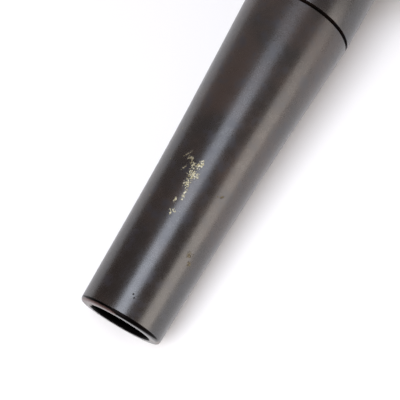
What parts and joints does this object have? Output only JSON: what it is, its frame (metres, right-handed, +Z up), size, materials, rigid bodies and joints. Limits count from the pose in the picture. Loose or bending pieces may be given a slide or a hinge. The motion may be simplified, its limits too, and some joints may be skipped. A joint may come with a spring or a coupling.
{
  "type": "live center",
  "caption": "Live center with a hollow black tapered shank, a short neck and a barrel housing, and a 60 degree point that spins on bearings to support work in a lathe.",
  "frame": {"origin": "centre of the gauge plane of the Morse seat, on the turning axis", "axes": "+X along the turning axis towards the point; +Z up, through the grease screw"},
  "size_m": [0.1865, 0.048, 0.048],
  "materials": {
    "oxide_steel": "black-brown oxide on turned steel, satin, worn at the rim",
    "housing_steel": "black-brown oxide on turned steel, satin",
    "ground_steel": "finely ground hardened steel",
    "bearing_steel": "lapped bearing steel",
    "carbide": "ground cemented carbide",
    "cage_brass": "machined brass",
    "cage_nylon": "natural polyamide",
    "seal_rubber": "moulded nitrile rubber",
    "screw_steel": "black oxide fasteners and spring steel"
  },
  "bodies": {
    "housing_body": {"shank": "oxide_steel", "shank_o_ring": "seal_rubber", "shank_lock_screw": "screw_steel", "needle_cup": "ground_steel", "housing": "housing_steel", "thrust_housing_washer": "bearing_steel", "preload_spring": "screw_steel", "rear_bearing_outer_ring": "bearing_steel", "rear_bearing_shields": "ground_steel", "outer_spacer": "ground_steel", "front_bearing_outer_ring": "bearing_steel", "front_bearing_shields": "ground_steel", "front_cap": "housing_steel", "cap_o_ring": "seal_rubber", "cap_lock_screws": "screw_steel", "seal_case": "screw_steel", "seal_lip": "seal_rubber", "garter_spring": "ground_steel", "grease_screw": "screw_steel"},
    "spindle_body": {"spindle": "ground_steel", "center_tip": "carbide", "flinger": "ground_steel", "thrust_shaft_washer": "bearing_steel", "spindle_circlip": "screw_steel", "rear_bearing_inner_ring": "bearing_steel", "inner_spacer": "ground_steel", "front_bearing_inner_ring": "bearing_steel"},
    "rear_ball_set": {"rear_bearing_cage": "cage_nylon", "rear_bearing_balls": "bearing_steel"},
    "front_ball_set": {"front_bearing_cage": "cage_nylon", "front_bearing_balls": "bearing_steel"},
    "thrust_ball_set": {"thrust_cage": "cage_brass", "thrust_balls": "bearing_steel"},
    "needle_set": {"needle_cage": "cage_brass", "needle_rollers": "bearing_steel"}
  },
  "joints": [
    {"name": "spindle_spin", "type": "hinge", "parent": "housing_body", "child": "spindle_body", "pos_m": [0, 0, 0], "axis": [1, 0, 0], "continuous": true},
    {"name": "rear_cage_spin", "type": "hinge", "parent": "housing_body", "child": "rear_ball_set", "pos_m": [0, 0, 0], "axis": [1, 0, 0], "continuous": true},
    {"name": "front_cage_spin", "type": "hinge", "parent": "housing_body", "child": "front_ball_set", "pos_m": [0, 0, 0], "axis": [1, 0, 0], "continuous": true},
    {"name": "thrust_cage_spin", "type": "hinge", "parent": "housing_body", "child": "thrust_ball_set", "pos_m": [0, 0, 0], "axis": [1, 0, 0], "continuous": true},
    {"name": "needle_cage_spin", "type": "hinge", "parent": "housing_body", "child": "needle_set", "pos_m": [0, 0, 0], "axis": [1, 0, 0], "continuous": true}
  ],
  "couplings": [
    {"joint": "rear_cage_spin", "follows": "spindle_spin", "ratio": 0.3816},
    {"joint": "front_cage_spin", "follows": "spindle_spin", "ratio": 0.3816},
    {"joint": "thrust_cage_spin", "follows": "spindle_spin", "ratio": 0.5},
    {"joint": "needle_cage_spin", "follows": "spindle_spin", "ratio": 0.4467}
  ]
}
